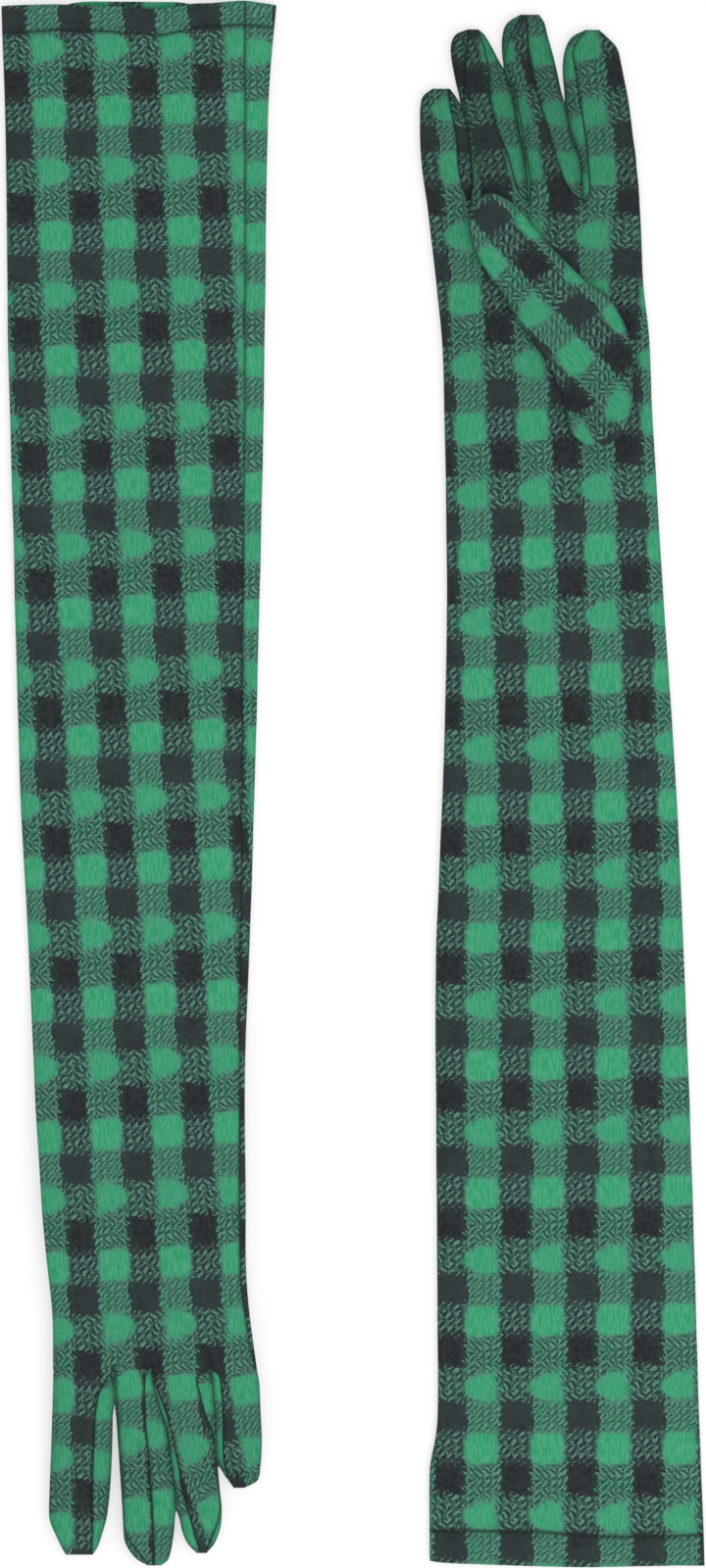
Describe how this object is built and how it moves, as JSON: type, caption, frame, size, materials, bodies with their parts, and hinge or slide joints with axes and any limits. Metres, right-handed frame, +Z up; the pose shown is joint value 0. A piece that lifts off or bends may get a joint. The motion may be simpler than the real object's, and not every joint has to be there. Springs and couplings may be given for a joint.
{
  "type": "pair of opera-length dress gloves",
  "caption": "Pair of long stretch-jersey gloves in green and black check, laid flat, with hemmed sleeves, set-in thumbs and fourchette fingers that fold.",
  "frame": {"origin": "middle of the layout, on the surface that the gloves lie on", "axes": "+Y along the right glove towards its fingertips, +X from the left glove towards the right glove, +Z up"},
  "size_m": [0.3008, 0.668, 0.0145],
  "materials": {
    "check_jersey": "printed jersey in green and black check",
    "fourchette_jersey": "the same jersey cut as narrow strips",
    "sewing_thread": "matte polyester thread"
  },
  "bodies": {
    "right_upper_sleeve_body": {"right_upper_sleeve": "check_jersey", "right_upper_sleeve_side_seam": "check_jersey", "right_hem_turning": "check_jersey", "right_hem_stitching": "sewing_thread"},
    "right_forearm_body": {"right_forearm": "check_jersey", "right_forearm_side_seam": "check_jersey"},
    "right_hand_body": {"right_hand": "check_jersey", "right_hand_side_seam": "check_jersey", "right_thumb_seam": "check_jersey"},
    "right_thumb_body": {"right_thumb": "check_jersey"},
    "right_index_finger_body": {"right_index_folded_face": "check_jersey", "right_index_little_side_fourchette": "fourchette_jersey"},
    "right_little_finger_body": {"right_little_folded_face": "check_jersey", "right_little_index_side_fourchette": "fourchette_jersey"},
    "right_middle_finger_body": {"right_middle_palm_face": "check_jersey", "right_middle_back_face": "check_jersey", "right_middle_little_side_fourchette": "fourchette_jersey", "right_middle_index_side_fourchette": "fourchette_jersey"},
    "right_ring_finger_body": {"right_ring_palm_face": "check_jersey", "right_ring_back_face": "check_jersey", "right_ring_little_side_fourchette": "fourchette_jersey", "right_ring_index_side_fourchette": "fourchette_jersey"},
    "left_upper_sleeve_body": {"left_upper_sleeve": "check_jersey", "left_upper_sleeve_side_seam": "check_jersey", "left_hem_turning": "check_jersey", "left_hem_stitching": "sewing_thread"},
    "left_forearm_body": {"left_forearm": "check_jersey", "left_forearm_side_seam": "check_jersey"},
    "left_hand_body": {"left_hand": "check_jersey", "left_hand_side_seam": "check_jersey", "left_thumb_seam": "check_jersey"},
    "left_thumb_body": {"left_thumb": "check_jersey"},
    "left_index_finger_body": {"left_index_folded_face": "check_jersey", "left_index_little_side_fourchette": "fourchette_jersey"},
    "left_little_finger_body": {"left_little_folded_face": "check_jersey", "left_little_index_side_fourchette": "fourchette_jersey"},
    "left_middle_finger_body": {"left_middle_palm_face": "check_jersey", "left_middle_back_face": "check_jersey", "left_middle_little_side_fourchette": "fourchette_jersey", "left_middle_index_side_fourchette": "fourchette_jersey"},
    "left_ring_finger_body": {"left_ring_palm_face": "check_jersey", "left_ring_back_face": "check_jersey", "left_ring_little_side_fourchette": "fourchette_jersey", "left_ring_index_side_fourchette": "fourchette_jersey"}
  },
  "joints": [
    {"name": "right_elbow_fold", "type": "hinge", "parent": "right_upper_sleeve_body", "child": "right_forearm_body", "pos_m": [0.0922, -0.119, 0.008], "axis": [1, 0, 0], "range_deg": [0, 145]},
    {"name": "right_wrist_fold", "type": "hinge", "parent": "right_forearm_body", "child": "right_hand_body", "pos_m": [0.0844, 0.145, 0.008], "axis": [1, 0, 0], "range_deg": [0, 90]},
    {"name": "right_little_fold", "type": "hinge", "parent": "right_hand_body", "child": "right_little_finger_body", "pos_m": [0.04195, 0.25, 0.008], "axis": [1, 0, 0], "range_deg": [0, 90]},
    {"name": "right_ring_fold", "type": "hinge", "parent": "right_hand_body", "child": "right_ring_finger_body", "pos_m": [0.06395, 0.25, 0.008], "axis": [1, 0, 0], "range_deg": [0, 90]},
    {"name": "right_middle_fold", "type": "hinge", "parent": "right_hand_body", "child": "right_middle_finger_body", "pos_m": [0.08595, 0.25, 0.008], "axis": [1, 0, 0], "range_deg": [0, 90]},
    {"name": "right_index_fold", "type": "hinge", "parent": "right_hand_body", "child": "right_index_finger_body", "pos_m": [0.1092, 0.25, 0.008], "axis": [1, 0, 0], "range_deg": [0, 90]},
    {"name": "right_thumb_swing", "type": "hinge", "parent": "right_hand_body", "child": "right_thumb_body", "pos_m": [0.106, 0.16, 0.0083], "axis": [0, 0, 1], "range_deg": [-90, 0]},
    {"name": "left_elbow_fold", "type": "hinge", "parent": "left_upper_sleeve_body", "child": "left_forearm_body", "pos_m": [-0.0922, 0.119, 0.008], "axis": [-1, 0, 0], "range_deg": [0, 145]},
    {"name": "left_wrist_fold", "type": "hinge", "parent": "left_forearm_body", "child": "left_hand_body", "pos_m": [-0.0884, -0.145, 0.0145], "axis": [-1, 0, 0], "range_deg": [0, 90]},
    {"name": "left_little_fold", "type": "hinge", "parent": "left_hand_body", "child": "left_little_finger_body", "pos_m": [-0.04985, -0.25, 0.0145], "axis": [-1, 0, 0], "range_deg": [0, 90]},
    {"name": "left_ring_fold", "type": "hinge", "parent": "left_hand_body", "child": "left_ring_finger_body", "pos_m": [-0.07185, -0.25, 0.0145], "axis": [-1, 0, 0], "range_deg": [0, 90]},
    {"name": "left_middle_fold", "type": "hinge", "parent": "left_hand_body", "child": "left_middle_finger_body", "pos_m": [-0.09385, -0.25, 0.0145], "axis": [-1, 0, 0], "range_deg": [0, 90]},
    {"name": "left_index_fold", "type": "hinge", "parent": "left_hand_body", "child": "left_index_finger_body", "pos_m": [-0.1171, -0.25, 0.0145], "axis": [-1, 0, 0], "range_deg": [0, 90]},
    {"name": "left_thumb_swing", "type": "hinge", "parent": "left_hand_body", "child": "left_thumb_body", "pos_m": [-0.11, -0.16, 0], "axis": [0, 0, 1], "range_deg": [-90, 0]},
    {"name": "left_glove_lift", "type": "slide", "parent": "right_upper_sleeve_body", "child": "left_upper_sleeve_body", "axis": [0, 0, 1], "range_m": [0, 0.3]}
  ]
}
